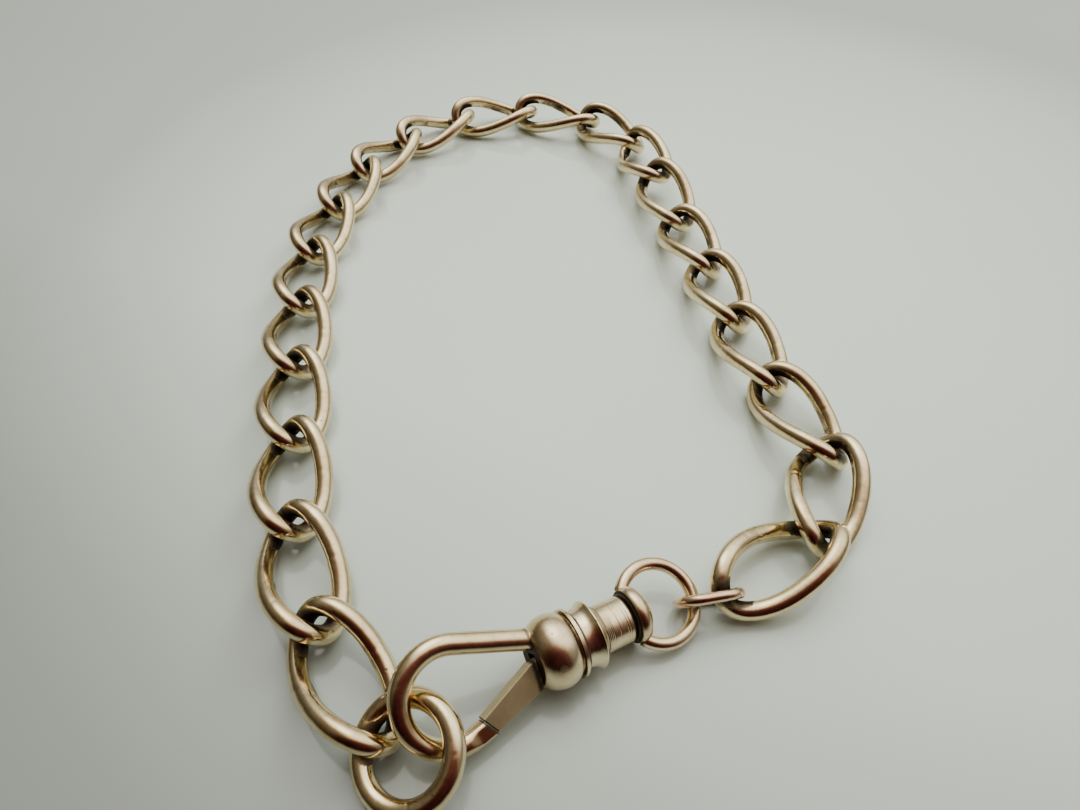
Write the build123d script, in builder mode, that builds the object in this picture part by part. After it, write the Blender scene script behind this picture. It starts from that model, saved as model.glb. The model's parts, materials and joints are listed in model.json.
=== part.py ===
"""Pocket watch chain: twenty-one curb links, an end ring and a swivel clip, laid in a closed loop.

Frame: millimetres, +Z up. The chain lies on the plane z = 0, and the origin is on that plane,
under the middle of the box round the whole chain. The loop is long in Y, with the clip at -Y.
"""
from build123d import *
import math
import os

# ---- driving dimensions -------------------------------------------------------------------

WIRE = 1.9                 # diameter of the wire of links, end ring and hook
WIRE_RADIUS = WIRE / 2

# curb link: an oval of wire, twisted a quarter turn about its long axis
LINK_HALF_LENGTH = 7.1     # wire's centre line, middle of the link to its tip
LINK_HALF_WIDTH = 3.4      # wire's centre line, middle of the link to its side
LINK_SQUARENESS = 2.4      # superellipse exponent of the oval, 2 would be an ellipse
LINK_TWIST = 90.0          # degrees, tip to tip
LINK_TURNS = (0, 0.48, 1.08, math.pi / 2)  # parameters, tip to side, between which arcs follow it
SMALL_TURN = 1e-5
LINK_SLACK = 0.55          # free play at each joint of the chain
LINK_HEIGHT = 2.62         # height of a flat-lying link's middle
LIFT_PER_TURN = 0.5 / 42   # height that one wire gains on the next, for each degree of turn
LARGEST_LIFT_TURN = 50.0   # degrees, the lift stops growing here

# the way the links lie, from the end ring to the clip, in degrees
HEADINGS = (128, 114, 103, 102.5, 100, 96, 84.8, 77.5, 61, 42.5, 15.5,
            -11.5, -52, -76.5, -77, -76, -80, -77, -67, -108, -148.6)
RISES = {13: 2, 14: 4, 15: -6}
ROLLS = {11: 8, 12: 5, 13: 7, 14: 22, 15: 11}
FIRST_JOINT = (-11.875, -53.70)

# end ring: round ring, propped on the first link
RING_RADIUS = 4.18
RING_TILT = 26.5
RING_HIGH_SIDE = 42.2      # heading of its highest point
RING_CENTRE = (-9.065, -55.30)

# jump ring: small oval ring that joins the last link to the bow
JUMP_WIRE_RADIUS = 0.475
JUMP_HALF_LENGTH = 2.97
JUMP_HALF_WIDTH = 1.96
JUMP_CENTRE = (17.265, -40.70, 2.28)
JUMP_HEADING = 11.8
JUMP_LEAN = 27.0           # degrees from upright

# swivel clip. Its local x runs from the middle of the ball collar towards the hook, and its
# local y from the hook's limb towards the gate
CLIP_ORIGIN = (2.828, -46.737, 3.51)
CLIP_HEADING = -150.85
CLIP_SLOPE = 5.67          # the hook end is higher, because the hook lies on the end ring
CLIP_ROLL = -39.2          # the gate side is lower than the limb
BOW_ROLL = -19.5

BOW_WIRE_RADIUS = 0.625
BOW_RADIUS = 3.72
BOW_CENTRE_X = -10.95
BOW_START_ANGLE = 39.0     # half the gap in the bow, at the head

HEAD_FRONT = -7.35
HEAD_BACK = -9.25
HEAD_RADIUS = 2.65
POST_RADIUS = 0.70
POST_HEAD_RADIUS = 1.20
POST_HEAD_FRONT = -4.55
POST_HEAD_BACK = -5.35
RIVET_RADIUS = 1.0
RIVET_HEIGHT = 0.28

NECK_RADIUS = 2.17
NECK_BACK = -7.10
NECK_BORE_RADIUS = 0.74
CAVITY_BACK = -5.50
CAVITY_RADIUS = 1.35
SPIGOT_RADIUS = 1.60
SPIGOT_FRONT = -1.0
COLLAR_BACK = -1.9

BALL_FRONT = 2.28          # flat front face of the collar
BALL_FRONT_RADIUS = 2.2
BALL_RADIUS = 3.3
FLANGE_RADIUS = 3.1
GROOVE_RADIUS = 2.6
RIDGE_RADIUS = 3.1

LIMB_ANGLE = -19.4         # direction of the straight limb in the clip's plane
LIMB_START_X = 1.15        # its end inside the collar
HOOK_CENTRE = (10.03, -0.22)
HOOK_RADIUS = 4.15
NOSE_ANGLE = 103.6         # where the bend ends, about the hook's centre
NOSE_LENGTH = 1.9
NOSE_THICKNESS = 1.5       # between the filed flats

JOINT_INNER = (8.10, 2.55)  # joint line between the nose and the gate's end
JOINT_OUTER = (7.10, 4.00)
JOINT_GAP = 0.10

GATE_THICKNESS = 1.3
GATE_PIVOT = (0.9, 0.75)
GATE_HEEL_RADIUS = 1.0
GATE_ROOT_INNER = (2.90, 0.02)
GATE_ROOT_OUTER = (1.65, 2.19)
GATE_EDGE_FILLET = 0.15
PIN_RADIUS = 0.35
PIN_CLEARANCE = 0.03
SLOT_WIDTH = 1.5
SLOT_BACK = -0.75
SLOT_FLOOR = -0.60
SPRING_WIDTH = 1.1
SPRING_THICKNESS = 0.13
SPRING_BOW = 0.50          # how far the leaf stands off the slot's back wall
SPRING_ENDS = (-0.55, 2.05)
BEYOND = 5.0               # a cut this far out is outside the clip


# ---- frames ---------------------------------------------------------------------------------

def laid_plane(origin, heading, slope=0.0, roll=0.0):
    """Plane whose x axis points along a heading, raised by a slope, then rolled about that axis."""
    turn, rise, lean = (math.radians(angle) for angle in (heading, slope, roll))
    forward = Vector(math.cos(turn) * math.cos(rise), math.sin(turn) * math.cos(rise), math.sin(rise))
    left = Vector(-math.sin(turn), math.cos(turn), 0)
    up = forward.cross(left)
    return Plane(origin=origin, x_dir=forward, z_dir=up * math.cos(lean) - left * math.sin(lean))


def polar(radius, angle, centre=(0, 0)):
    """Point at a radius and an angle in degrees about a centre."""
    turn = math.radians(angle)
    return (centre[0] + radius * math.cos(turn), centre[1] + radius * math.sin(turn))


def between(start, end, share):
    """Point on the way from start to end."""
    return tuple(a + share * (b - a) for a, b in zip(start, end))


def section_plane(plane, point, direction):
    """Plane across a wire that passes a point of a plane in a direction given in that plane."""
    along = plane.x_dir * direction[0] + plane.y_dir * direction[1]
    return Plane(origin=plane.from_local_coords(Vector(*point, 0)), x_dir=plane.z_dir, z_dir=along)


CLIP = laid_plane(CLIP_ORIGIN, CLIP_HEADING, CLIP_SLOPE, CLIP_ROLL)
BOW = laid_plane(CLIP_ORIGIN, CLIP_HEADING, CLIP_SLOPE, BOW_ROLL)
CLIP_AXIS = Axis(CLIP.origin, CLIP.x_dir)


def link_planes():
    """Plane of each link: x along the link towards the clip, z up through the link."""
    half = LINK_HALF_LENGTH - WIRE_RADIUS - LINK_SLACK / 2
    turns = [0.0] + [after - before for before, after in zip(HEADINGS, HEADINGS[1:])] + [0.0]
    lifts = [-LIFT_PER_TURN * max(-LARGEST_LIFT_TURN, min(LARGEST_LIFT_TURN, turn)) for turn in turns]
    x, y = FIRST_JOINT
    z = LINK_HEIGHT
    planes = []
    for index, heading in enumerate(HEADINGS):
        rise = math.radians(RISES.get(index + 1, 0))
        run = 2 * half * math.cos(rise)
        climb = 2 * half * math.sin(rise)
        near = z + lifts[index] / 2
        far = z + climb - lifts[index + 1] / 2
        step_x, step_y = polar(run, heading)
        middle = (x + step_x / 2, y + step_y / 2, (near + far) / 2)
        slope = math.degrees(math.asin((far - near) / (2 * half)))
        planes.append(laid_plane(middle, heading, slope, ROLLS.get(index + 1, 0)))
        x, y, z = x + step_x, y + step_y, z + climb
    return planes


# ---- wire shapes ----------------------------------------------------------------------------

def link_point(turn):
    """Point of the twisted oval at a parameter that runs from 0 to 2 pi round the link."""
    across, along = math.sin(turn), math.cos(turn)
    power = 2 / LINK_SQUARENESS
    x = LINK_HALF_LENGTH * math.copysign(abs(along) ** power, along)
    side = LINK_HALF_WIDTH * math.copysign(abs(across) ** power, across)
    twist = -math.radians(LINK_TWIST / 2) * x / LINK_HALF_LENGTH
    return (x, side * math.cos(twist), side * math.sin(twist))


def link_tangent(turn):
    """Direction of the wire at a parameter of the twisted oval."""
    if turn == 0:
        lean = math.radians(LINK_TWIST / 2)
        return Vector(0, math.cos(lean), -math.sin(lean))
    return (Vector(*link_point(turn + SMALL_TURN)) - Vector(*link_point(turn - SMALL_TURN))).normalized()


def arc_pair(turn, next_turn):
    """Two arcs that meet smoothly and follow the twisted oval from one parameter to the next."""
    start, end = Vector(*link_point(turn)), Vector(*link_point(next_turn))
    leaving, arriving = link_tangent(turn), link_tangent(next_turn)
    chord, spread = end - start, 2 * (1 - leaving.dot(arriving))
    forward = chord.dot(leaving + arriving)
    reach = (math.sqrt(forward ** 2 + spread * chord.dot(chord)) - forward) / spread
    meeting = (start + end + (leaving - arriving) * reach) / 2
    return (start, leaving, meeting), (end, -arriving, meeting)


def bent_wire(start, direction, end, wire_radius):
    """Adds a round wire bent to the arc that leaves a point in a direction and ends at another."""
    chord = end - start
    inward = (chord - direction * chord.dot(direction)).normalized()
    radius = chord.dot(chord) / (2 * chord.dot(inward))
    turned = 2 * math.degrees(math.atan2(chord.dot(inward), chord.dot(direction)))
    with BuildSketch(Plane(origin=start, x_dir=inward, z_dir=direction)) as section:
        Circle(wire_radius)
    revolve(section.sketch, axis=Axis(start + inward * radius, direction.cross(inward)),
            revolution_arc=turned)


def wire_arc(plane, radius, wire_radius, centre=(0, 0), start=0.0, arc=360.0):
    """Adds a round wire bent to an arc about a centre in a plane."""
    direction = polar(1, start + 90)
    with BuildSketch(section_plane(plane, polar(radius, start, centre), direction)) as section:
        Circle(wire_radius)
    bend_axis = Axis(plane.from_local_coords(Vector(*centre, 0)), plane.z_dir)
    revolve(section.sketch, axis=bend_axis, revolution_arc=arc)


def wire_run(plane, start, end, wire_radius):
    """Adds a straight run of round wire between two points of a plane."""
    direction = (end[0] - start[0], end[1] - start[1])
    with BuildSketch(section_plane(plane, start, direction)) as section:
        Circle(wire_radius)
    extrude(section.sketch, amount=math.hypot(*direction))


def collar_outline():
    """Outside of the ball collar, as a half profile against the clip's axis."""
    with BuildSketch(CLIP) as outline:
        with BuildLine():
            Polyline((COLLAR_BACK, 0), (COLLAR_BACK, GROOVE_RADIUS), (-1.65, GROOVE_RADIUS),
                     (-1.65, FLANGE_RADIUS), (-1.35, FLANGE_RADIUS), (-1.35, GROOVE_RADIUS),
                     (-1.1, GROOVE_RADIUS), (-1.1, 2.9))
            ThreePointArc((-1.1, 2.9), (0.3, BALL_RADIUS), (BALL_FRONT, BALL_FRONT_RADIUS))
            Polyline((BALL_FRONT, BALL_FRONT_RADIUS), (BALL_FRONT, 0), (COLLAR_BACK, 0))
        make_face()
    return outline.sketch


def finish(part, name):
    """Labels a finished piece and writes its STEP file."""
    part.label = name
    export_step(part, f"parts/{name}.step")


os.makedirs("parts", exist_ok=True)

# ---- chain links ----------------------------------------------------------------------------

with BuildPart() as link_shape:
    for turn, next_turn in zip(LINK_TURNS, LINK_TURNS[1:]):
        for wire_piece in arc_pair(turn, next_turn):
            bent_wire(*wire_piece, WIRE_RADIUS)
    add(link_shape.part.rotate(Axis.Y, 180))
    add(link_shape.part.rotate(Axis.Z, 180))

for number, link_plane in enumerate(link_planes(), start=1):
    with BuildPart() as link:
        with Locations(link_plane.location):
            add(link_shape.part)
    finish(link.part, f"link_{number:02d}")

# ---- end ring and jump ring -----------------------------------------------------------------

ring_height = WIRE_RADIUS + RING_RADIUS * math.sin(math.radians(RING_TILT))
RING = laid_plane((*RING_CENTRE, ring_height), RING_HIGH_SIDE, RING_TILT)

with BuildPart() as end_ring:
    wire_arc(RING, RING_RADIUS, WIRE_RADIUS)
finish(end_ring.part, "end_ring")

JUMP = laid_plane(JUMP_CENTRE, JUMP_HEADING, 0, 90 + JUMP_LEAN)
jump_straight = JUMP_HALF_LENGTH - JUMP_HALF_WIDTH

with BuildPart() as jump_ring:
    for end, start_angle in ((jump_straight, -90), (-jump_straight, 90)):
        wire_arc(JUMP, JUMP_HALF_WIDTH, JUMP_WIRE_RADIUS, (end, 0), start_angle, 180)
    for side in (-JUMP_HALF_WIDTH, JUMP_HALF_WIDTH):
        wire_run(JUMP, (-jump_straight, side), (jump_straight, side), JUMP_WIRE_RADIUS)
finish(jump_ring.part, "jump_ring")

# ---- swivel end: bow, head and post ---------------------------------------------------------

with BuildPart() as bow:
    wire_arc(BOW, BOW_RADIUS, BOW_WIRE_RADIUS, (BOW_CENTRE_X, 0), BOW_START_ANGLE,
             360 - 2 * BOW_START_ANGLE)
finish(bow.part, "bow")

with BuildPart() as swivel_head:
    with BuildSketch(CLIP):
        with BuildLine():
            Polyline((HEAD_FRONT, POST_RADIUS), (HEAD_FRONT, 2.2), (-7.5, 2.45))
            ThreePointArc((-7.5, 2.45), (-8.0, HEAD_RADIUS), (-8.6, 2.5))
            Polyline((-8.6, 2.5), (-8.6, 2.2))
            ThreePointArc((-8.6, 2.2), (-9.05, 1.9), (HEAD_BACK, 1.3))
            Polyline((HEAD_BACK, 1.3), (HEAD_BACK, POST_RADIUS), (HEAD_FRONT, POST_RADIUS))
        make_face()
    revolve(axis=CLIP_AXIS)
    add(bow.part, mode=Mode.SUBTRACT)
finish(swivel_head.part, "swivel_head")

with BuildPart() as swivel_post:
    with BuildSketch(CLIP):
        with BuildLine():
            Polyline((POST_HEAD_FRONT, 0), (POST_HEAD_FRONT, POST_HEAD_RADIUS),
                     (POST_HEAD_BACK, POST_HEAD_RADIUS), (POST_HEAD_BACK, POST_RADIUS),
                     (HEAD_BACK, POST_RADIUS), (HEAD_BACK, RIVET_RADIUS))
            ThreePointArc((HEAD_BACK, RIVET_RADIUS), (HEAD_BACK - 0.2, 0.75),
                          (HEAD_BACK - RIVET_HEIGHT, 0.3))
            Polyline((HEAD_BACK - RIVET_HEIGHT, 0.3), (HEAD_BACK - RIVET_HEIGHT, 0), (POST_HEAD_FRONT, 0))
        make_face()
    revolve(axis=CLIP_AXIS)
finish(swivel_post.part, "swivel_post")

# ---- clip body: barrel and ball collar ------------------------------------------------------

with BuildPart() as barrel:
    with BuildSketch(CLIP):
        with BuildLine():
            Polyline((COLLAR_BACK, SPIGOT_RADIUS), (COLLAR_BACK, GROOVE_RADIUS))
            ThreePointArc((COLLAR_BACK, GROOVE_RADIUS), (-2.75, 2.72), (-3.4, RIDGE_RADIUS))
            Polyline((-3.4, RIDGE_RADIUS), (-3.55, 3.05), (-3.9, 2.45), (-4.2, NECK_RADIUS),
                     (-6.95, NECK_RADIUS), (NECK_BACK, NECK_RADIUS - 0.12),
                     (NECK_BACK, NECK_BORE_RADIUS), (CAVITY_BACK, NECK_BORE_RADIUS),
                     (CAVITY_BACK, CAVITY_RADIUS), (SPIGOT_FRONT, CAVITY_RADIUS),
                     (SPIGOT_FRONT, SPIGOT_RADIUS), (COLLAR_BACK, SPIGOT_RADIUS))
        make_face()
    revolve(axis=CLIP_AXIS)
finish(barrel.part, "barrel")

bend_start = polar(HOOK_RADIUS, LIMB_ANGLE - 90, HOOK_CENTRE)
limb_start = (LIMB_START_X, bend_start[1] - (bend_start[0] - LIMB_START_X) * math.tan(math.radians(LIMB_ANGLE)))
bend_end = polar(HOOK_RADIUS, NOSE_ANGLE, HOOK_CENTRE)
nose_end = polar(NOSE_LENGTH, NOSE_ANGLE + 90, bend_end)

with BuildPart() as collar:
    revolve(collar_outline(), axis=CLIP_AXIS)
    with BuildSketch(CLIP):
        with Locations((COLLAR_BACK, 0)):
            Rectangle(SPIGOT_FRONT - COLLAR_BACK, SPIGOT_RADIUS, align=(Align.MIN, Align.MIN))
    revolve(axis=CLIP_AXIS, mode=Mode.SUBTRACT)
    with BuildSketch(CLIP):
        with Locations((SLOT_BACK, SLOT_FLOOR)):
            Rectangle(BEYOND, BEYOND, align=(Align.MIN, Align.MIN))
    extrude(amount=SLOT_WIDTH / 2, both=True, mode=Mode.SUBTRACT)
    limb_direction = polar(1, LIMB_ANGLE)
    with BuildSketch(section_plane(CLIP, limb_start, limb_direction)):
        Circle(WIRE_RADIUS)
    extrude(amount=BEYOND, mode=Mode.SUBTRACT)
    with BuildSketch(CLIP):
        with Locations(GATE_PIVOT):
            Circle(PIN_RADIUS)
    extrude(amount=BEYOND, both=True, mode=Mode.SUBTRACT)
finish(collar.part, "collar")

# ---- hook, gate, pin and spring -------------------------------------------------------------

joint_direction = between((0, 0), (JOINT_OUTER[0] - JOINT_INNER[0], JOINT_OUTER[1] - JOINT_INNER[1]),
                          1 / math.dist(JOINT_INNER, JOINT_OUTER))
joint_normal = (joint_direction[1], -joint_direction[0])


def from_joint(along, out):
    """Point beside the joint line: along it from its inner end, and out from it to the nose."""
    return tuple(JOINT_INNER[i] + along * joint_direction[i] + out * joint_normal[i] for i in (0, 1))


with BuildPart() as hook:
    wire_run(CLIP, limb_start, bend_start, WIRE_RADIUS)
    wire_arc(CLIP, HOOK_RADIUS, WIRE_RADIUS, HOOK_CENTRE, LIMB_ANGLE - 90,
             NOSE_ANGLE - LIMB_ANGLE + 90)
    wire_run(CLIP, bend_end, nose_end, WIRE_RADIUS)
    with BuildSketch(CLIP):
        Polygon(from_joint(-1.5, JOINT_GAP), from_joint(3.5, JOINT_GAP), from_joint(3.5, -2),
                from_joint(-1.5, -2), align=None)
    extrude(amount=2 * WIRE_RADIUS, both=True, mode=Mode.SUBTRACT)
    for side in (1, -1):
        with BuildSketch(CLIP.offset(side * NOSE_THICKNESS / 2)):
            with Locations(bend_end):
                Rectangle(4.5, 3.2, rotation=NOSE_ANGLE - 90, align=(Align.MAX, Align.CENTER))
        extrude(amount=side * WIRE_RADIUS, mode=Mode.SUBTRACT)
finish(hook.part, "hook")

heel_bottom = (GATE_PIVOT[0], GATE_PIVOT[1] - GATE_HEEL_RADIUS)
heel_back = (GATE_PIVOT[0] - GATE_HEEL_RADIUS, GATE_PIVOT[1])
heel_top = polar(GATE_HEEL_RADIUS, 108, GATE_PIVOT)

with BuildPart() as gate:
    with BuildSketch(CLIP):
        with BuildLine():
            Polyline(heel_top, GATE_ROOT_OUTER, JOINT_OUTER, JOINT_INNER, GATE_ROOT_INNER, heel_bottom)
            ThreePointArc(heel_bottom, heel_back, heel_top)
        make_face()
    extrude(amount=GATE_THICKNESS / 2, both=True)
    faces_of_gate = gate.faces().sort_by(Axis(CLIP.origin, CLIP.z_dir))
    fillet((faces_of_gate[0].edges() + faces_of_gate[-1].edges()), GATE_EDGE_FILLET)
    with BuildSketch(CLIP):
        with Locations(GATE_PIVOT):
            Circle(PIN_RADIUS + PIN_CLEARANCE)
    extrude(amount=GATE_THICKNESS, both=True, mode=Mode.SUBTRACT)
finish(gate.part, "gate")

with BuildPart() as gate_pin:
    with BuildSketch(CLIP):
        with Locations(GATE_PIVOT):
            Circle(PIN_RADIUS)
    extrude(amount=BEYOND, both=True)
    revolve(collar_outline(), axis=CLIP_AXIS, mode=Mode.INTERSECT)
finish(gate_pin.part, "gate_pin")

spring_low, spring_high = SPRING_ENDS
spring_middle = (spring_low + spring_high) / 2

with BuildPart() as gate_spring:
    with BuildSketch(CLIP):
        with BuildLine():
            ThreePointArc((SLOT_BACK, spring_low), (SLOT_BACK + SPRING_BOW, spring_middle),
                          (SLOT_BACK, spring_high))
            Line((SLOT_BACK, spring_high), (SLOT_BACK, spring_high - 1.6 * SPRING_THICKNESS))
            ThreePointArc((SLOT_BACK, spring_high - 1.6 * SPRING_THICKNESS),
                          (SLOT_BACK + SPRING_BOW - SPRING_THICKNESS, spring_middle),
                          (SLOT_BACK, spring_low + 1.6 * SPRING_THICKNESS))
            Line((SLOT_BACK, spring_low + 1.6 * SPRING_THICKNESS), (SLOT_BACK, spring_low))
        make_face()
    extrude(amount=SPRING_WIDTH / 2, both=True)
finish(gate_spring.part, "gate_spring")
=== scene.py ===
import json
import math

import bmesh
import bpy
import numpy as np
from mathutils import Matrix, Vector, noise
from mathutils.kdtree import KDTree


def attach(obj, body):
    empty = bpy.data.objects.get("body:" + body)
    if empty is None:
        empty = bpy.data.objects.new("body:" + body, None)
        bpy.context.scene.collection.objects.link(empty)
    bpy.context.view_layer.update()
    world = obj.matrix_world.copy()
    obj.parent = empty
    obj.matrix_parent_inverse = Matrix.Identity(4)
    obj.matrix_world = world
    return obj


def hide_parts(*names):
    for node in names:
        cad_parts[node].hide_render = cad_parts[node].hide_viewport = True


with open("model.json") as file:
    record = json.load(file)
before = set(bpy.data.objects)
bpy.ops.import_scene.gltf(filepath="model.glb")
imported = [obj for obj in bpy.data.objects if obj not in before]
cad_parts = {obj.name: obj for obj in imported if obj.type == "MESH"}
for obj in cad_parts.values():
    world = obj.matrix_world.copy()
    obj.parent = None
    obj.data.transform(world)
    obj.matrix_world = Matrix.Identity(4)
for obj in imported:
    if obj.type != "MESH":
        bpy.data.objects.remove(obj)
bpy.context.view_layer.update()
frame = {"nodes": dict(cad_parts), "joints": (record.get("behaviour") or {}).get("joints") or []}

MM = 0.001

# wire
WIRE_MM = 0.95                   # radius of the chain's wire
WIRE = WIRE_MM * MM
JUMP_WIRE = 0.475 * MM
JUMP_SWELL = 0.06 * MM           # the jump ring is drawn this much thicker than its CAD wire
AROUND = 36                      # points round a wire
WEAR = 0.006 * MM                # worn wire is this much thinner than new wire
DENT_DEPTH = 0.020 * MM
DENT_SIZE = 1.6 * MM
FINE_DEPTH = 0.004 * MM
FINE_SIZE = 0.55 * MM
NICK_DEPTH = 0.05 * MM
NICK_START = 0.45                # fine noise above this is a nick
SEAM_DEPTH = 0.018 * MM
SEAM_ROWS = 1.3                  # half width of a solder seam, in rows of points

# the twisted oval of a link
LINK_COUNT = 21
LINK_HALF_LENGTH = 7.1 * MM
LINK_HALF_WIDTH = 3.4 * MM
LINK_POWER = 2 / 2.4
LINK_HALF_TWIST = math.radians(45)
LINK_ROWS = 210
OVAL_STEPS = 2400

# the rings
RING_STEPS = 1200
END_RING_ROWS = 200
JUMP_RING_ROWS = 110
ROUND_ENOUGH = 0.05 * MM         # an oval longer than wide by less than this is a circle

# the hook, in the clip's frame and in mm
HOOK_CENTRE = (10.03, -0.22)
HOOK_RADIUS = 4.15
LIMB_ANGLE = math.radians(-19.4)
LIMB_START_X = 1.15
NOSE_ANGLE = math.radians(103.6)
NOSE_LENGTH = 1.9
NOSE_HALF_THICKNESS = 0.74
LIMB_STEPS, BEND_STEPS, NOSE_STEPS = 30, 90, 12
FLATTEN_FROM, FLATTEN_OVER = 6, 8   # rows before the nose where its flat starts, and its run-in
CUT_FROM = 15                       # rows before the nose where the cut may start
JOINT_GAP = 0.06                    # between gate and nose

# soiling and painted shade
REACH = 2.1 * MM                 # it lies this far round each contact
NEIGHBOURS = 60                  # points searched for the nearest other piece
AT_CONTACT = 0.85                # most soiling and painted shade at a contact,
INSIDE = 0.80                    # on the inner side of a wire
UNDERSIDE_SHADE = 0.35                # and painted shade on its underside
GRIME_CLOUD = 2.6 * MM

# the clip's frame: along it, across the flat of the gate, and from the hook's limb to the gate
swivel = next(joint for joint in frame["joints"] if joint["name"] == "swivel")
gate_swing = next(joint for joint in frame["joints"] if joint["name"] == "gate_swing")
CLIP_O = Vector(swivel["pos_m"])
CLIP_U = Vector(swivel["axis"]).normalized()
CLIP_N = -Vector(gate_swing["axis"]).normalized()
CLIP_V = CLIP_N.cross(CLIP_U)


def clip_point(x, y, z=0.0):
    """Point of the clip's own frame, in millimetres, in the row frame."""
    return CLIP_O + (CLIP_U * x + CLIP_V * y + CLIP_N * z) * MM


# the line where the gate's end meets the hook's nose
JOINT_INNER = Vector((8.10, 2.55))
JOINT_OUTER = Vector((7.10, 4.00))
JOINT_RUN = JOINT_OUTER - JOINT_INNER
JOINT_POINT = clip_point(*JOINT_INNER)
JOINT_OUT = (CLIP_U * JOINT_RUN.y - CLIP_V * JOINT_RUN.x).normalized()


# ---- camera ----------------------------------------------------------------------------------

CAMERA_PLACE = (0.000905, -0.07467, 0.065)
CAMERA_DOWN = 47.12              # degrees below the horizon
CAMERA_ROLL = math.radians(1.405)
LENS = 24.43

camera = bpy.data.cameras.new("camera")
camera.lens = LENS
camera.sensor_width = 36
camera.clip_start = 0.005
camera.clip_end = 20
eye = bpy.data.objects.new("camera", camera)
bpy.context.scene.collection.objects.link(eye)
eye.location = CAMERA_PLACE
eye.rotation_euler = (Matrix.Rotation(math.radians(90 - CAMERA_DOWN), 3, "X")
                      @ Matrix.Rotation(CAMERA_ROLL, 3, "Z")).to_euler()
bpy.context.scene.camera = eye


# ---- shader nodes ----------------------------------------------------------------------------

class Nodes:
    """Shader nodes of a material or of the world. Values are sockets, numbers or colours."""

    def __init__(self, owner):
        owner.use_nodes = True
        self.tree = owner.node_tree

    def add(self, kind, **values):
        """New node, with its inputs or its properties set by name."""
        made = self.tree.nodes.new(kind)
        for key, value in values.items():
            if key in made.inputs:
                made.inputs[key].default_value = value
            else:
                setattr(made, key, value)
        return made

    def put(self, value, socket):
        """Feeds a socket with another socket, a colour or a number."""
        if hasattr(value, "links"):
            self.tree.links.new(value, socket)
        elif isinstance(value, tuple):
            socket.default_value = (*value, 1)
        else:
            socket.default_value = value

    def place(self, kind="Object"):
        """Texture coordinates: the object's own, in metres, unless another kind is asked for."""
        return self.add("ShaderNodeTexCoord").outputs[kind]

    def ramp(self, source, *stops):
        """Colour ramp over a value: each stop is a place and a colour or a grey."""
        made = self.add("ShaderNodeValToRGB")
        elements = made.color_ramp.elements
        while len(elements) < len(stops):
            elements.new(0.5)
        for element, (position, colour) in zip(elements, stops):
            element.position = position
            element.color = (*colour, 1) if isinstance(colour, tuple) else (*[colour] * 3, 1)
        self.put(source, made.inputs["Fac"])
        return made.outputs["Color"]

    def mix(self, factor, first, second, blend="MIX"):
        """Mixed colour."""
        made = self.add("ShaderNodeMix", data_type="RGBA", blend_type=blend)
        for socket, value in ((made.inputs[0], factor), (made.inputs[6], first),
                              (made.inputs[7], second)):
            self.put(value, socket)
        return made.outputs[2]

    def product(self, *colours):
        """Colours multiplied together."""
        result = colours[0]
        for colour in colours[1:]:
            result = self.mix(1.0, result, colour, "MULTIPLY")
        return result

    def maths(self, operation, first, second=0.0):
        """Arithmetic on numbers. Sums and products stay between 0 and 1."""
        made = self.add("ShaderNodeMath", operation=operation)
        made.use_clamp = operation in ("ADD", "MULTIPLY")
        for socket, value in zip(made.inputs, (first, second)):
            self.put(value, socket)
        return made.outputs[0]

    def plus(self, first, second):
        return self.maths("ADD", first, second)

    def minus(self, first, second):
        return self.maths("SUBTRACT", first, second)

    def times(self, first, second):
        return self.maths("MULTIPLY", first, second)

    def vector_maths(self, operation, first, second, result="Vector"):
        """Arithmetic on a vector socket and a fixed vector."""
        made = self.add("ShaderNodeVectorMath", operation=operation)
        self.tree.links.new(first, made.inputs[0])
        made.inputs[1].default_value = tuple(second)
        return made.outputs[result]

    def clouds(self, scale, detail=4.0, rough=0.55, stretch=None):
        """Noise over the object. stretch draws it out along an axis."""
        place = self.place()
        if stretch:
            mapping = self.add("ShaderNodeMapping", Scale=stretch)
            self.put(place, mapping.inputs["Vector"])
            place = mapping.outputs["Vector"]
        made = self.add("ShaderNodeTexNoise", Scale=scale, Detail=detail, Roughness=rough)
        self.put(place, made.inputs["Vector"])
        return made.outputs["Fac"]

    def facing(self, axis):
        """1 where a face looks along an axis of the object, either way, and 0 across it."""
        share = self.vector_maths("DOT_PRODUCT", self.place("Normal"), axis, "Value")
        return self.ramp(self.maths("ABSOLUTE", share), (0.55, 0.0), (0.85, 1.0))

    def along(self, axis, start, length):
        """Share of the way from a point along an axis, over a length."""
        shift = self.vector_maths("SUBTRACT", self.place(), start)
        return self.vector_maths("DOT_PRODUCT", shift, Vector(axis) / length, "Value")

    def off_clip_axis(self, length):
        """Distance from the clip's axis, as a share of a length."""
        shift = self.vector_maths("SUBTRACT", self.place(), CLIP_O)
        turned = self.vector_maths("CROSS_PRODUCT", shift, CLIP_U / length)
        size = self.add("ShaderNodeVectorMath", operation="LENGTH")
        self.put(turned, size.inputs[0])
        return size.outputs["Value"]


# ---- gold ------------------------------------------------------------------------------------

STAIN, STAIN_AMOUNT = (0.50, 0.38, 0.25), 0.45
# dark colour of soiling and painted shade
DIRT_AND_SHADE = (0.045, 0.028, 0.018)
PIT, PIT_AMOUNT = (0.10, 0.06, 0.035), 0.6
NICK, NICK_AMOUNT = (0.24, 0.16, 0.10), 0.4

# scales of the patterns, per metre
CLOUD_SCALE = 260.0
MOTTLE_SCALE = 1500.0
RAGGED_SCALE = 1100.0
SCRATCH_SCALE = 900.0
PIT_SCALE = 620.0
NICK_SCALE = 420.0
PATCH_SCALE = 230.0

BANDS_START = -10.0              # reach of the bands along the clip's axis, in mm
BANDS_LENGTH = 14.0
BUMP_DISTANCE = 0.03 * MM


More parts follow.
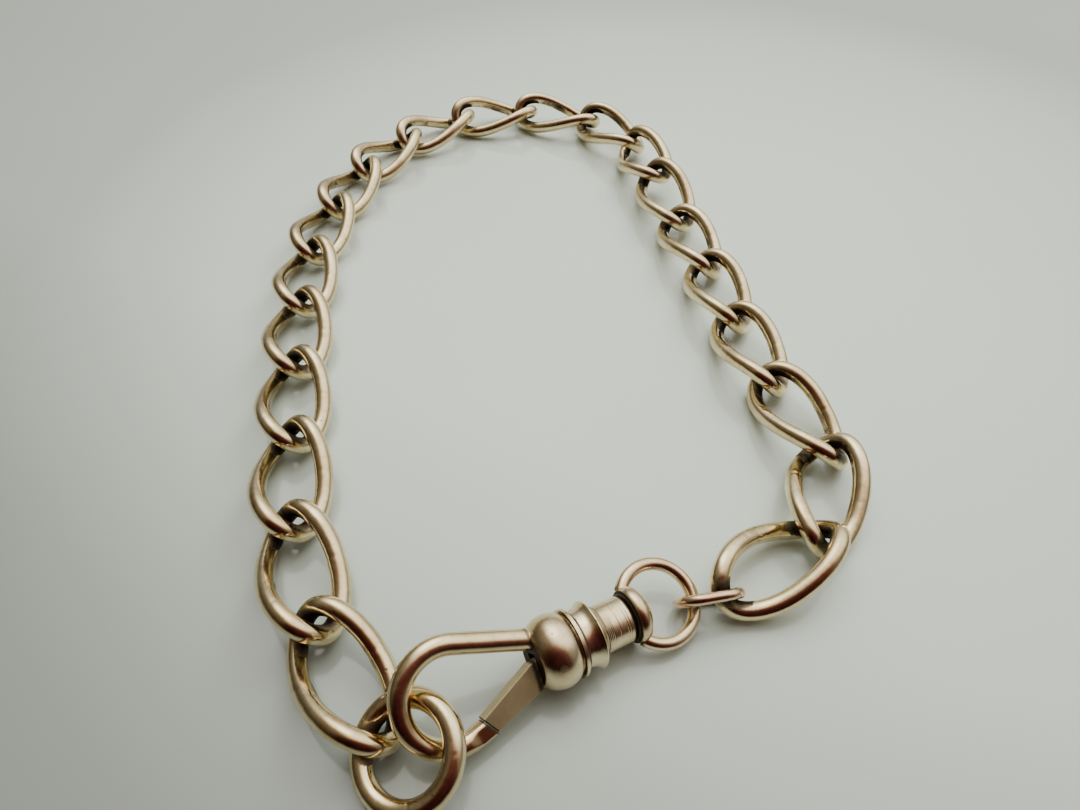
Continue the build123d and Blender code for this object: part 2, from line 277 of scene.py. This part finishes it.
def clip_bands(nodes, bands):
    """Soiling and painted shade in grooves round the clip. Each band is a place along it, a half
    width and a depth.
    """
    share = nodes.along(CLIP_U, CLIP_O + CLIP_U * BANDS_START * MM, BANDS_LENGTH * MM)
    stops = []
    for middle, half, depth in bands:
        at = (middle - BANDS_START) / BANDS_LENGTH
        reach = half / BANDS_LENGTH
        stops += [(at - reach, 0.0), (at, depth), (at + reach, 0.0)]
    return nodes.ramp(share, *sorted(stops))


def joint_shade_line(nodes):
    """Painted shade in the line where the gate meets the nose, on the gate's side of the clip."""
    beside = nodes.along(JOINT_OUT, JOINT_POINT - JOINT_OUT * MM, 2 * MM)
    seam = nodes.ramp(beside, (0.42, 0.0), (0.475, 1.0), (0.575, 1.0), (0.63, 0.0))
    gate_side = nodes.ramp(nodes.along(CLIP_V, CLIP_O, 4 * MM), (0.35, 0.0), (0.45, 1.0))
    return nodes.times(seam, gate_side)


def pits_of(nodes):
    """Small round pits, in some of the cells of a Voronoi pattern."""
    cells = nodes.add("ShaderNodeTexVoronoi", Scale=PIT_SCALE)
    nodes.put(nodes.place(), cells.inputs["Vector"])
    chosen = nodes.ramp(cells.outputs["Color"], (0.55, 0.0), (0.6, 1.0))
    return nodes.times(nodes.ramp(cells.outputs["Distance"], (0.05, 1.0), (0.10, 0.0)), chosen)


def nicks_of(nodes):
    """Hairline nicks along the level lines of a noise, in patches."""
    lines = nodes.maths("ABSOLUTE", nodes.minus(nodes.clouds(NICK_SCALE, 1.0), 0.5))
    where = nodes.ramp(nodes.clouds(PATCH_SCALE, 1.0), (0.60, 0.0), (0.66, 1.0))
    return nodes.times(nodes.ramp(lines, (0.003, 1.0), (0.008, 0.0)), where)


def gold(name, pale=(0.93, 0.79, 0.50), deep=(0.71, 0.55, 0.31), roughness=0.12, grime_and_shade=1.0,
         brushed=0.0, bands=(), lit_edge_tone=None, joint=False, bore=None):
    """Worn gold: two tones in clouds, dark soiling and painted shade in the crevices, fine
    scratches and pits.

    bands are grooves round the clip, darkened with soiling and painted shade. lit_edge_tone is a
    lighter colour, painted light, for the faces across the clip's flat.
    joint paints shade in the line of gate and nose. bore is the radius of a hole on the clip's
    axis, painted dark inside as shade.
    """
    material = bpy.data.materials.new(name)
    nodes = Nodes(material)
    shader = nodes.tree.nodes["Principled BSDF"]
    shader.inputs["Metallic"].default_value = 1.0

    mottle = nodes.clouds(MOTTLE_SCALE, 6.0, 0.65)
    two_tone = nodes.ramp(nodes.clouds(CLOUD_SCALE, 3.0), (0.32, 0.0), (0.68, 1.0))
    tone = nodes.mix(two_tone, pale, deep)
    stained = nodes.ramp(mottle, (0.48, 0.0), (0.70, 1.0))
    tone = nodes.mix(nodes.times(stained, STAIN_AMOUNT), tone, STAIN)
    # painted light: the faces across the clip's flat get the lighter edge tone
    if lit_edge_tone:
        tone = nodes.mix(nodes.facing(CLIP_N), lit_edge_tone, tone)

    # soiling and painted shade of the pieces, from their contacts, inner sides and undersides
    dirt_and_shade = nodes.add("ShaderNodeAttribute", attribute_name="grime_and_shade").outputs["Fac"]
    # soiling and painted shade in the grooves
    if bands:
        dirt_and_shade = nodes.plus(dirt_and_shade, clip_bands(nodes, bands))
    # painted shade in the gap where gate meets nose
    if joint:
        dirt_and_shade = nodes.plus(dirt_and_shade, joint_shade_line(nodes))
    # painted shade inside the collar's bore
    if bore:
        bore_shade = nodes.ramp(nodes.off_clip_axis(bore * 2), (0.45, 1.0), (0.53, 0.0))
        dirt_and_shade = nodes.plus(dirt_and_shade, bore_shade)
    ragged = nodes.times(nodes.minus(nodes.clouds(RAGGED_SCALE, 5.0, 0.7), 0.5), 0.9)
    dark = nodes.ramp(nodes.plus(dirt_and_shade, ragged), (0.36, 0.0), (0.54, 0.75 * grime_and_shade), (0.8, grime_and_shade))

    pits, nicks = pits_of(nodes), nicks_of(nodes)
    # soiling and painted shade darken the tone
    tone = nodes.mix(dark, tone, DIRT_AND_SHADE)
    tone = nodes.mix(nodes.times(pits, PIT_AMOUNT), tone, PIT)
    tone = nodes.mix(nodes.times(nicks, NICK_AMOUNT), tone, NICK)
    nodes.put(tone, shader.inputs["Base Color"])

    scratches = nodes.clouds(SCRATCH_SCALE, 3.0, 0.6, (9.0, 1.0, 4.0))
    rough = nodes.plus(roughness - 0.05, nodes.times(scratches, 0.17 + brushed))
    nodes.put(nodes.plus(rough, nodes.times(dark, 0.45)), shader.inputs["Roughness"])

    raised = nodes.plus(nodes.times(scratches, 0.35 + brushed), nodes.times(mottle, 0.4))
    hollows = nodes.plus(nodes.times(pits, 0.5), nodes.times(nicks, 0.2))
    bump = nodes.add("ShaderNodeBump", Strength=0.3, Distance=BUMP_DISTANCE)
    nodes.put(nodes.minus(raised, hollows), bump.inputs["Height"])
    nodes.put(bump.outputs["Normal"], shader.inputs["Normal"])
    return material


# three finishes of link: the links far from the clip look duller
link_golds = [gold(f"link_gold_{wear}", roughness=0.10 + 0.05 * wear) for wear in range(3)]
ring_gold = gold("ring_gold", roughness=0.10, grime_and_shade=0.8)
jump_gold = gold("jump_gold", pale=(0.88, 0.70, 0.48), deep=(0.74, 0.49, 0.32), roughness=0.15)
bow_gold = gold("bow_gold", pale=(0.90, 0.75, 0.50), deep=(0.74, 0.54, 0.33), roughness=0.12,
                grime_and_shade=0.8, bands=((-7.6, 0.5, 0.7),))
barrel_gold = gold("barrel_gold", pale=(0.91, 0.78, 0.52), deep=(0.76, 0.61, 0.37),
                   roughness=0.13, bands=((-1.95, 0.25, 0.75), (-3.6, 0.2, 0.45),
                                          (-4.25, 0.3, 0.6), (-7.05, 0.3, 0.9)))
head_gold = gold("head_gold", pale=(0.88, 0.72, 0.47), deep=(0.70, 0.52, 0.31), roughness=0.15,
                 bands=((-7.45, 0.25, 0.9), (-8.62, 0.2, 0.7)))
collar_gold = gold("collar_gold", pale=(0.90, 0.76, 0.51), deep=(0.72, 0.55, 0.33),
                   roughness=0.15, bore=2.15 * MM,
                   bands=((-1.2, 0.22, 0.85), (-1.8, 0.22, 0.85), (2.32, 0.3, 0.5)))
hook_gold = gold("hook_gold", roughness=0.11, grime_and_shade=0.8, bands=((2.3, 0.5, 0.65),), joint=True)
gate_metal = gold("gate_metal", pale=(0.62, 0.53, 0.33), deep=(0.47, 0.385, 0.22),
                  roughness=0.42, brushed=0.25, bands=((2.5, 0.8, 0.6),),
                  lit_edge_tone=(0.66, 0.56, 0.36), joint=True)
pin_gold = gold("pin_gold", pale=(0.70, 0.60, 0.41), deep=(0.52, 0.42, 0.27), roughness=0.3)
spring_steel = gold("spring_steel", pale=(0.42, 0.42, 0.43), deep=(0.30, 0.29, 0.29),
                    roughness=0.35)


# ---- wire meshes -----------------------------------------------------------------------------

def new_mesh(name, points, faces):
    """Object with a mesh of its own."""
    mesh = bpy.data.meshes.new(name)
    mesh.from_pydata([tuple(p) for p in points], [], [tuple(f) for f in faces])
    mesh.update()
    made = bpy.data.objects.new(name, mesh)
    bpy.context.scene.collection.objects.link(made)
    return made


def stand_for(made, cad_name, body, material):
    """A new object stands for a CAD node, with its body and a finish."""
    made.data.materials.append(material)
    for polygon in made.data.polygons:
        polygon.use_smooth = True
    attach(made, body)
    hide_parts(cad_name)
    return made


def carried_sides(tangents, closed):
    """A sideways direction at each point of a line, carried along it with little turn."""
    count = len(tangents)
    first = np.cross(tangents[0], (0, 0, 1))
    if np.linalg.norm(first) < 0.1:
        first = np.cross(tangents[0], (1, 0, 0))
    sides = [first / np.linalg.norm(first)]
    for t in tangents[1:]:
        carried = sides[-1] - t * (sides[-1] @ t)
        sides.append(carried / np.linalg.norm(carried))
    sides = np.array(sides)
    if closed:
        last = sides[-1] - tangents[0] * (sides[-1] @ tangents[0])
        miss = math.atan2(np.cross(last, sides[0]) @ tangents[0], last @ sides[0])
        for i in range(count):
            turn = miss * i / count
            other = np.cross(tangents[i], sides[i])
            sides[i] = sides[i] * math.cos(turn) + other * math.sin(turn)
    return sides


def tube(name, centres, radius, closed=True, seed=0, seam=None):
    """Round wire along centre points, with shallow dents, and a slight solder seam at one row."""
    centres = np.asarray(centres, float)
    count = len(centres)
    if closed:
        tangents = np.roll(centres, -1, 0) - np.roll(centres, 1, 0)
    else:
        tangents = np.gradient(centres, axis=0)
    tangents /= np.linalg.norm(tangents, axis=1)[:, None]
    sides = carried_sides(tangents, closed)
    others = np.cross(tangents, sides)
    angles = np.linspace(0, 2 * math.pi, AROUND, endpoint=False)
    offset = Vector((seed * 7.31, seed * 3.17, seed * 1.93))   # each wire has dents of its own
    points = []
    for i in range(count):
        for angle in angles:
            out = sides[i] * math.cos(angle) + others[i] * math.sin(angle)
            place = Vector(centres[i] + out * radius)
            dent = 0.5 + 0.5 * noise.noise(place / DENT_SIZE + offset)
            fine = noise.noise(place / FINE_SIZE + offset)
            depth = (WEAR + DENT_DEPTH * dent + FINE_DEPTH * fine
                     + NICK_DEPTH * max(0.0, fine - NICK_START))
            if seam is not None:
                near = min(abs(i - seam), count - abs(i - seam)) / SEAM_ROWS
                depth += SEAM_DEPTH * math.exp(-near * near)
            points.append(centres[i] + out * (radius - depth))
    faces = []
    for i in range(count if closed else count - 1):
        j = (i + 1) % count
        for k in range(AROUND):
            m = (k + 1) % AROUND
            faces.append((i * AROUND + k, i * AROUND + m, j * AROUND + m, j * AROUND + k))
    if not closed:
        faces.append(tuple(range(AROUND))[::-1])
        faces.append(tuple((count - 1) * AROUND + k for k in range(AROUND)))
    return new_mesh(name, points, faces)


def node_frame(name):
    """Middle and principal axes, longest first, of a CAD node, from its surface."""
    mesh = frame["nodes"][name].data
    mesh.calc_loop_triangles()
    co = np.array([v.co for v in mesh.vertices], float)
    tri = np.array([t.vertices for t in mesh.loop_triangles])
    a, b, c = co[tri[:, 0]], co[tri[:, 1]], co[tri[:, 2]]
    area = np.linalg.norm(np.cross(b - a, c - a), axis=1) / 2
    mid = (a + b + c) / 3
    centre = (mid * area[:, None]).sum(0) / area.sum()
    rel = mid - centre
    _, axes = np.linalg.eigh((rel * area[:, None]).T @ rel)
    axes = axes[:, ::-1].T
    axes[2] = np.cross(axes[0], axes[1])
    return centre, axes


def oval_point(turn):
    """Point of a link's twisted oval in the link's own frame."""
    lengthwise, across = math.cos(turn), math.sin(turn)
    x = LINK_HALF_LENGTH * math.copysign(abs(lengthwise) ** LINK_POWER, lengthwise)
    side = LINK_HALF_WIDTH * math.copysign(abs(across) ** LINK_POWER, across)
    twist = -LINK_HALF_TWIST * x / LINK_HALF_LENGTH
    return (x, side * math.cos(twist), side * math.sin(twist))


def even_loop(points, count):
    """The same closed line, with its points spaced evenly."""
    points = np.vstack([points, points[:1]])
    lengths = np.r_[0, np.cumsum(np.linalg.norm(np.diff(points, axis=0), axis=1))]
    wanted = np.linspace(0, lengths[-1], count, endpoint=False)
    return np.stack([np.interp(wanted, lengths, points[:, k]) for k in range(3)], 1)


oval = even_loop(np.array([oval_point(2 * math.pi * i / OVAL_STEPS) for i in range(OVAL_STEPS)]),
                 LINK_ROWS)
pieces = []
for number in range(1, LINK_COUNT + 1):
    cad_name = f"link_{number:02d}"
    centre, axes = node_frame(cad_name)
    made = tube(f"chain_{cad_name}", centre + oval @ axes, WIRE, seed=number,
                seam=50 + number % 7)
    wear = 0 if number < 5 or number > 17 else 1 if number < 8 or number > 15 else 2
    pieces.append(stand_for(made, cad_name, cad_name, link_golds[wear]))


def ring_of(name, wire, rows, seed, material, swell=0.0):
    """Round or oval ring of wire in the place of a CAD ring. swell thickens its wire a little."""
    centre, axes = node_frame(name)
    mesh = frame["nodes"][name].data
    co = np.array([v.co for v in mesh.vertices], float) - centre
    flat = co @ axes.T
    half_long = flat[:, 0].max() - wire
    half_wide = flat[:, 1].max() - wire
    straight = max(0.0, half_long - half_wide)
    if straight < ROUND_ENOUGH:
        straight = 0.0
    loop = []
    for i in range(RING_STEPS):
        turn = 2 * math.pi * i / RING_STEPS
        x, y = half_wide * math.cos(turn), half_wide * math.sin(turn)
        loop.append((x + math.copysign(straight, math.cos(turn)), y, 0.0))
    loop = even_loop(np.array(loop), rows)
    made = tube(f"chain_{name}", centre + loop @ axes, wire + swell, seed=seed, seam=rows // 3)
    pieces.append(stand_for(made, name, name, material))


ring_of("end_ring", WIRE, END_RING_ROWS, 31, ring_gold)
ring_of("jump_ring", JUMP_WIRE, JUMP_RING_ROWS, 32, jump_gold,
        swell=JUMP_SWELL)


# ---- hook ------------------------------------------------------------------------------------

def hook_line():
    """Centre line of the hook in the clip's plane, from the collar, and the row of its nose."""
    x, y = HOOK_CENTRE
    first = LIMB_ANGLE - math.pi / 2
    sweep = NOSE_ANGLE - first
    bend = [(x + HOOK_RADIUS * math.cos(first + sweep * i / BEND_STEPS),
             y + HOOK_RADIUS * math.sin(first + sweep * i / BEND_STEPS))
            for i in range(BEND_STEPS + 1)]
    rise = math.tan(LIMB_ANGLE)
    run = bend[0][0] - LIMB_START_X
    limb = [(LIMB_START_X + run * i / LIMB_STEPS, bend[0][1] - run * (1 - i / LIMB_STEPS) * rise)
            for i in range(LIMB_STEPS)]
    ahead = NOSE_ANGLE + math.pi / 2
    nose = [(bend[-1][0] + NOSE_LENGTH * i / NOSE_STEPS * math.cos(ahead),
             bend[-1][1] + NOSE_LENGTH * i / NOSE_STEPS * math.sin(ahead))
            for i in range(1, NOSE_STEPS + 1)]
    return limb + bend + nose, len(limb) + len(bend)


line, nose_start = hook_line()
hook = tube("clip_hook", [clip_point(*p) for p in line], WIRE, closed=False, seed=41)

# the nose is flattened to the gate's thickness
for vertex in hook.data.vertices:
    row = vertex.index // AROUND
    share = min(1.0, max(0.0, (row - nose_start + FLATTEN_FROM) / FLATTEN_OVER))
    if share > 0:
        flat = WIRE_MM + (NOSE_HALF_THICKNESS - WIRE_MM) * share * share * (3 - 2 * share)
        height = (vertex.co - CLIP_O).dot(CLIP_N) / MM
        if abs(height) > flat:
            vertex.co -= CLIP_N * (height - math.copysign(flat, height)) * MM

# and cut off along the line of the joint
bm = bmesh.new()
bm.from_mesh(hook.data)
first_cut = (nose_start - CUT_FROM) * AROUND
nose_faces = [face for face in bm.faces if min(v.index for v in face.verts) >= first_cut]
# without repeats, and in the same order each run
nose_edges = dict.fromkeys(edge for face in nose_faces for edge in face.edges)
nose_verts = dict.fromkeys(vert for face in nose_faces for vert in face.verts)
bmesh.ops.bisect_plane(bm, geom=[*nose_verts, *nose_edges, *nose_faces], clear_outer=True,
                       plane_co=JOINT_POINT + JOINT_OUT * JOINT_GAP * MM, plane_no=-JOINT_OUT)
bmesh.ops.holes_fill(bm, edges=bm.edges[:], sides=200)
bmesh.ops.recalc_face_normals(bm, faces=bm.faces)
bm.to_mesh(hook.data)
bm.free()
stand_for(hook, "hook", "clip_body", hook_gold)
hook.data.set_sharp_from_angle(angle=math.radians(35))


# ---- barrel ----------------------------------------------------------------------------------

def lathe(name, profile, segments=120):
    """Turned solid about the clip's axis. The profile is a closed line of places and radii."""
    points, faces = [], []
    count = len(profile)
    for k in range(segments):
        angle = 2 * math.pi * k / segments
        out = CLIP_V * math.cos(angle) + CLIP_N * math.sin(angle)
        for x, radius in profile:
            points.append(CLIP_O + CLIP_U * x * MM + out * radius * MM)
    for k in range(segments):
        m = (k + 1) % segments
        for i in range(count):
            j = (i + 1) % count
            faces.append((k * count + i, m * count + i, m * count + j, k * count + j))
    made = new_mesh(name, points, faces)
    bm = bmesh.new()
    bm.from_mesh(made.data)
    bmesh.ops.recalc_face_normals(bm, faces=bm.faces)
    bm.to_mesh(made.data)
    bm.free()
    return made


def grooved(start, end, radius, grooves, depth=0.022, half=0.05, step=0.012):
    """Straight turned surface from start down to end, with fine V grooves at some places."""
    count = round(abs(end - start) / step)
    outline = []
    for i in range(count + 1):
        x = start + (end - start) * i / count
        groove = max(depth * max(0.0, 1 - abs(x - g) / half) for g in grooves)
        outline.append((x, radius - groove))
    return outline


def rounded(corner, before, after, size, steps=5):
    """Rounded corner of a profile."""
    corner, before, after = (Vector(p) for p in (corner, before, after))
    a = corner + (before - corner).normalized() * size
    b = corner + (after - corner).normalized() * size
    return [tuple(a.lerp(corner, t).lerp(corner.lerp(b, t), t))
            for t in (i / steps for i in range(steps + 1))]


# places along the clip and radii, in mm: flange, ring, neck, then back along the bore
NECK = 2.17
NECK_LINES = (-4.40, -4.56, -4.72, -4.88, -5.55, -6.35, -6.6)
barrel_profile = [
    (-1.9, 1.60), (-1.9, 2.58),
    *rounded((-2.0, 2.6), (-1.9, 2.58), (-2.75, 2.70), 0.08),
    (-2.4, 2.62), (-2.75, 2.70), (-3.0, 2.80), (-3.2, 2.93),
    *rounded((-3.42, 3.10), (-3.2, 2.93), (-3.56, 3.05), 0.07),
    *rounded((-3.56, 3.05), (-3.42, 3.10), (-3.9, 2.45), 0.07),
    *rounded((-3.9, 2.42), (-3.56, 3.05), (-4.2, NECK), 0.12),
    *grooved(-4.2, -6.92, NECK, NECK_LINES),
    *rounded((-7.1, NECK), (-6.92, NECK), (-7.1, 1.9), 0.1),
    (-7.1, 0.74), (-5.5, 0.74), (-5.5, 1.35), (-1.0, 1.35), (-1.0, 1.60),
]
barrel = lathe("clip_barrel", barrel_profile)
stand_for(barrel, "barrel", "clip_body", barrel_gold)
barrel.data.set_sharp_from_angle(angle=math.radians(50))

# the other pieces are the CAD's own
for name, material in (("bow", bow_gold), ("swivel_head", head_gold), ("swivel_post", pin_gold),
                       ("collar", collar_gold), ("gate", gate_metal), ("gate_pin", pin_gold),
                       ("gate_spring", spring_steel)):
    cad = frame["nodes"][name]
    cad.data.materials.clear()
    cad.data.materials.append(material)


# ---- soiling and painted shade ---------------------------------------------------------------

places, owner = [], []
for index, piece in enumerate(pieces):
    for vertex in list(piece.data.vertices)[::3]:
        places.append(vertex.co.copy())
        owner.append(index)
tree = KDTree(len(places))
for i, place in enumerate(places):
    tree.insert(place, i)
tree.balance()
for index, piece in enumerate(pieces):
    middle = sum((v.co for v in piece.data.vertices), Vector()) / len(piece.data.vertices)
    values = []
    for vertex in piece.data.vertices:
        near = REACH
        for _, found, distance in tree.find_n(vertex.co, NEIGHBOURS):
            if owner[found] != index:
                near = min(near, distance)
                break
        # soiling and painted shade: most at contacts with other pieces and in clouds on the inner
        # side; on the underside it is painted shade alone
        inward = (middle - vertex.co).normalized().dot(vertex.normal)
        underside_shade = max(0.0, -vertex.normal.z - 0.3) * UNDERSIDE_SHADE
        cloud = 0.5 + 0.5 * noise.noise(vertex.co / GRIME_CLOUD + Vector((index * 5.1, 0, 0)))
        values.append((1 - near / REACH) * AT_CONTACT + max(0.0, inward) * INSIDE * cloud + underside_shade)
    attribute = piece.data.attributes.new("grime_and_shade", "FLOAT", "POINT")
    attribute.data.foreach_set("value", np.array(values, np.float32))


# ---- floor -----------------------------------------------------------------------------------

FLOOR_HALF = 12                  # metres
LIGHT_SPOT = (0.03, 0.025, 0)    # middle of the pool of light painted on the floor
NEAR_LEFT = (-0.5, -0.866, 0)    # painted shade darkens the floor this way

floor = new_mesh("floor", [(x, y, 0.0) for y in (-FLOOR_HALF, FLOOR_HALF)
                           for x in (-FLOOR_HALF, FLOOR_HALF)], [(0, 1, 3, 2)])
floor_material = bpy.data.materials.new("floor")
floor_nodes = Nodes(floor_material)
floor_shader = floor_nodes.tree.nodes["Principled BSDF"]
speckled = floor_nodes.ramp(floor_nodes.clouds(14.0, 3.0), (0.3, (0.70, 0.795, 0.725)),
                            (0.7, (0.74, 0.835, 0.765)))
# painted pool of light: the floor darkens away from LIGHT_SPOT
from_spot = floor_nodes.vector_maths("DISTANCE", floor_nodes.place(), LIGHT_SPOT, "Value")
light_pool_falloff = floor_nodes.ramp(floor_nodes.times(from_spot, 4.0), (0.10, 1.0), (0.30, 0.84),
                           (0.42, 0.60), (1.0, 0.60))
# painted shade: the floor darkens towards the near left
near_left_shade = floor_nodes.ramp(floor_nodes.along(NEAR_LEFT, (0, 0, 0), 0.1), (0.18, 1.0),
                             (0.40, 0.83), (0.55, 0.67), (0.72, 0.59))
floor_nodes.put(floor_nodes.product(speckled, near_left_shade, light_pool_falloff),
                floor_shader.inputs["Base Color"])
floor_shader.inputs["Roughness"].default_value = 0.11
floor_shader.inputs["Specular IOR Level"].default_value = 0.5
floor.data.materials.append(floor_material)


# ---- world -----------------------------------------------------------------------------------

BACKDROP = (0.141, 0.15, 0.141)
ROOM_STRENGTH = 5.0

world = bpy.data.worlds.new("studio")
bpy.context.scene.world = world
room = Nodes(world)
background = room.tree.nodes["Background"]
direction = room.place("Generated")


def towards(*axis):
    """How far a direction of the room points along an axis, from -1 to 1."""
    return room.vector_maths("DOT_PRODUCT", direction, Vector(axis).normalized(), "Value")


split = room.add("ShaderNodeSeparateXYZ")
room.put(direction, split.inputs[0])
sky = room.ramp(split.outputs["Z"], (0.0, (0.20, 0.195, 0.185)), (0.25, (0.28, 0.275, 0.26)),
                (0.6, (0.60, 0.60, 0.58)), (0.95, (0.78, 0.78, 0.76)))
near_side = room.ramp(towards(0.05, -0.93, 0.36), (0.0, 1.0), (0.42, (0.80, 0.72, 0.66)),
                      (0.68, (0.25, 0.095, 0.085)), (0.88, (0.085, 0.022, 0.026)))
left_side = room.ramp(towards(-0.92, -0.25, 0.22), (0.25, 1.0), (0.7, (0.42, 0.38, 0.32)),
                      (0.95, (0.25, 0.22, 0.18)))
glow = room.ramp(towards(0.30, 0.62, 0.72), (0.50, (0.36, 0.36, 0.35)), (0.80, (1, 1, 0.97)))
pane = room.ramp(towards(-0.16, 0.42, 0.62), (0.90, 0.6), (0.985, (1, 1, 0.97)))
around = room.product(sky, glow, near_side, left_side, pane)
# the eye itself sees a plain pale wall behind the floor
seen = room.mix(room.add("ShaderNodeLightPath").outputs["Is Camera Ray"], around, BACKDROP)
room.put(seen, background.inputs["Color"])
background.inputs["Strength"].default_value = ROOM_STRENGTH


def lamp(name, place, size, power, colour=(1, 1, 1)):
    """Soft round lamp that faces the chain. It lights, but doesn't show in the metal."""
    light = bpy.data.lights.new(name, "AREA")
    light.shape = "DISK"
    light.size = size
    light.energy = power
    light.color = colour
    made = bpy.data.objects.new(name, light)
    bpy.context.scene.collection.objects.link(made)
    made.location = place
    made.visible_glossy = False
    made.rotation_euler = (-Vector(place)).to_track_quat("-Z", "Y").to_euler()


lamp("window", (0.42, 0.55, 0.62), size=0.60, power=4.0, colour=(1.0, 1.0, 0.97))
lamp("top", (-0.10, 0.25, 0.85), size=0.80, power=1.9)
